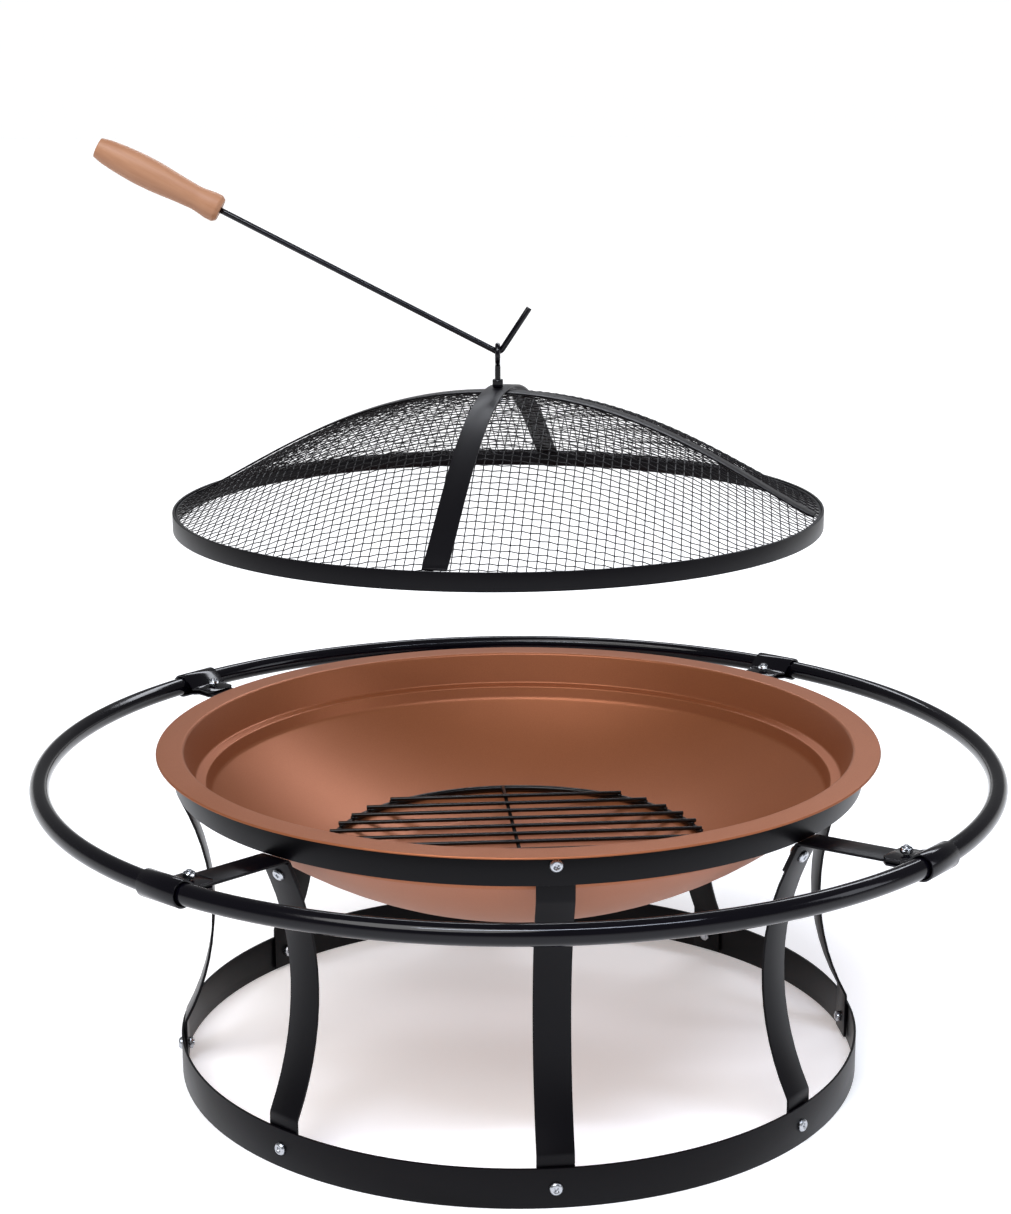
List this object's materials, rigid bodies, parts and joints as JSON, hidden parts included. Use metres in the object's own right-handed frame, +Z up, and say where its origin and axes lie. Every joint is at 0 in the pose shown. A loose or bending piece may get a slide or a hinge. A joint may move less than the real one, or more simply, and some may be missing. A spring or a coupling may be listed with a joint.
{
  "type": "fire pit with grate",
  "caption": "Round garden fire pit: strap-steel stand with an outer tube ring, copper-coloured bowl, wire grate, domed mesh spark screen and a wood-handled poker.",
  "frame": {"origin": "on the ground at the centre of the stand", "axes": "+Z up; -Y is the front, +X to the right; the lifted screen hangs above the bowl with the poker reaching up to the left (-X)"},
  "size_m": [0.95, 0.95, 0.9108],
  "materials": {
    "black_paint": "satin black heat-resistant paint",
    "copper_paint": "satin metallic copper paint",
    "zinc_screws": "bright zinc plate",
    "chrome_nuts": "polished",
    "grate_black": "satin black",
    "screen_wire": "satin black woven wire",
    "handle_wood": "turned, lightly varnished"
  },
  "bodies": {
    "stand": {"base_ring": "black_paint", "top_ring": "black_paint", "leg_1": "black_paint", "leg_2": "black_paint", "leg_3": "black_paint", "leg_4": "black_paint", "leg_5": "black_paint", "leg_6": "black_paint", "leg_7": "black_paint", "leg_8": "black_paint", "base_screw_1": "zinc_screws", "base_screw_2": "zinc_screws", "base_screw_3": "zinc_screws", "base_screw_4": "zinc_screws", "base_screw_5": "zinc_screws", "base_screw_6": "zinc_screws", "base_screw_7": "zinc_screws", "base_screw_8": "zinc_screws", "top_screw_1": "zinc_screws", "top_screw_3": "zinc_screws", "top_screw_5": "zinc_screws", "top_screw_7": "zinc_screws", "bracket_screw_2": "zinc_screws", "bracket_screw_4": "zinc_screws", "bracket_screw_6": "zinc_screws", "bracket_screw_8": "zinc_screws", "bracket_arm_1": "black_paint", "outer_tube_1": "black_paint", "tube_clamp_1": "black_paint", "clamp_bolt_1": "zinc_screws", "cap_nut_1": "chrome_nuts", "bracket_arm_2": "black_paint", "outer_tube_2": "black_paint", "tube_clamp_2": "black_paint", "clamp_bolt_2": "zinc_screws", "cap_nut_2": "chrome_nuts", "bracket_arm_3": "black_paint", "outer_tube_3": "black_paint", "tube_clamp_3": "black_paint", "clamp_bolt_3": "zinc_screws", "cap_nut_3": "chrome_nuts", "bracket_arm_4": "black_paint", "outer_tube_4": "black_paint", "tube_clamp_4": "black_paint", "clamp_bolt_4": "zinc_screws", "cap_nut_4": "chrome_nuts"},
    "bowl": {"bowl": "copper_paint"},
    "grate": {"grate_hoop": "grate_black", "grate_bars": "grate_black"},
    "screen": {"screen_rim": "black_paint", "screen_mesh": "screen_wire", "screen_strap_a": "black_paint", "screen_strap_b": "black_paint", "lifting_eye": "black_paint", "eye_nut": "black_paint", "eye_lock_nut": "zinc_screws"},
    "poker": {"poker_rod": "black_paint", "poker_handle": "handle_wood"}
  },
  "joints": [
    {"name": "bowl_lift", "type": "slide", "parent": "stand", "child": "bowl", "axis": [0, 0, 1], "range_m": [0, 0.2]},
    {"name": "grate_lift", "type": "slide", "parent": "bowl", "child": "grate", "axis": [0, 0, 1], "range_m": [0, 0.12]},
    {"name": "screen_lift", "type": "slide", "parent": "bowl", "child": "screen", "axis": [-0.0739, 0.014, 0.9972], "range_m": [-0.2502, 0.05]},
    {"name": "poker_swing", "type": "hinge", "parent": "screen", "child": "poker", "pos_m": [-0.0185, 0.0035, 0.7166], "axis": [0, 1, 0], "range_deg": [-30, 35]}
  ]
}
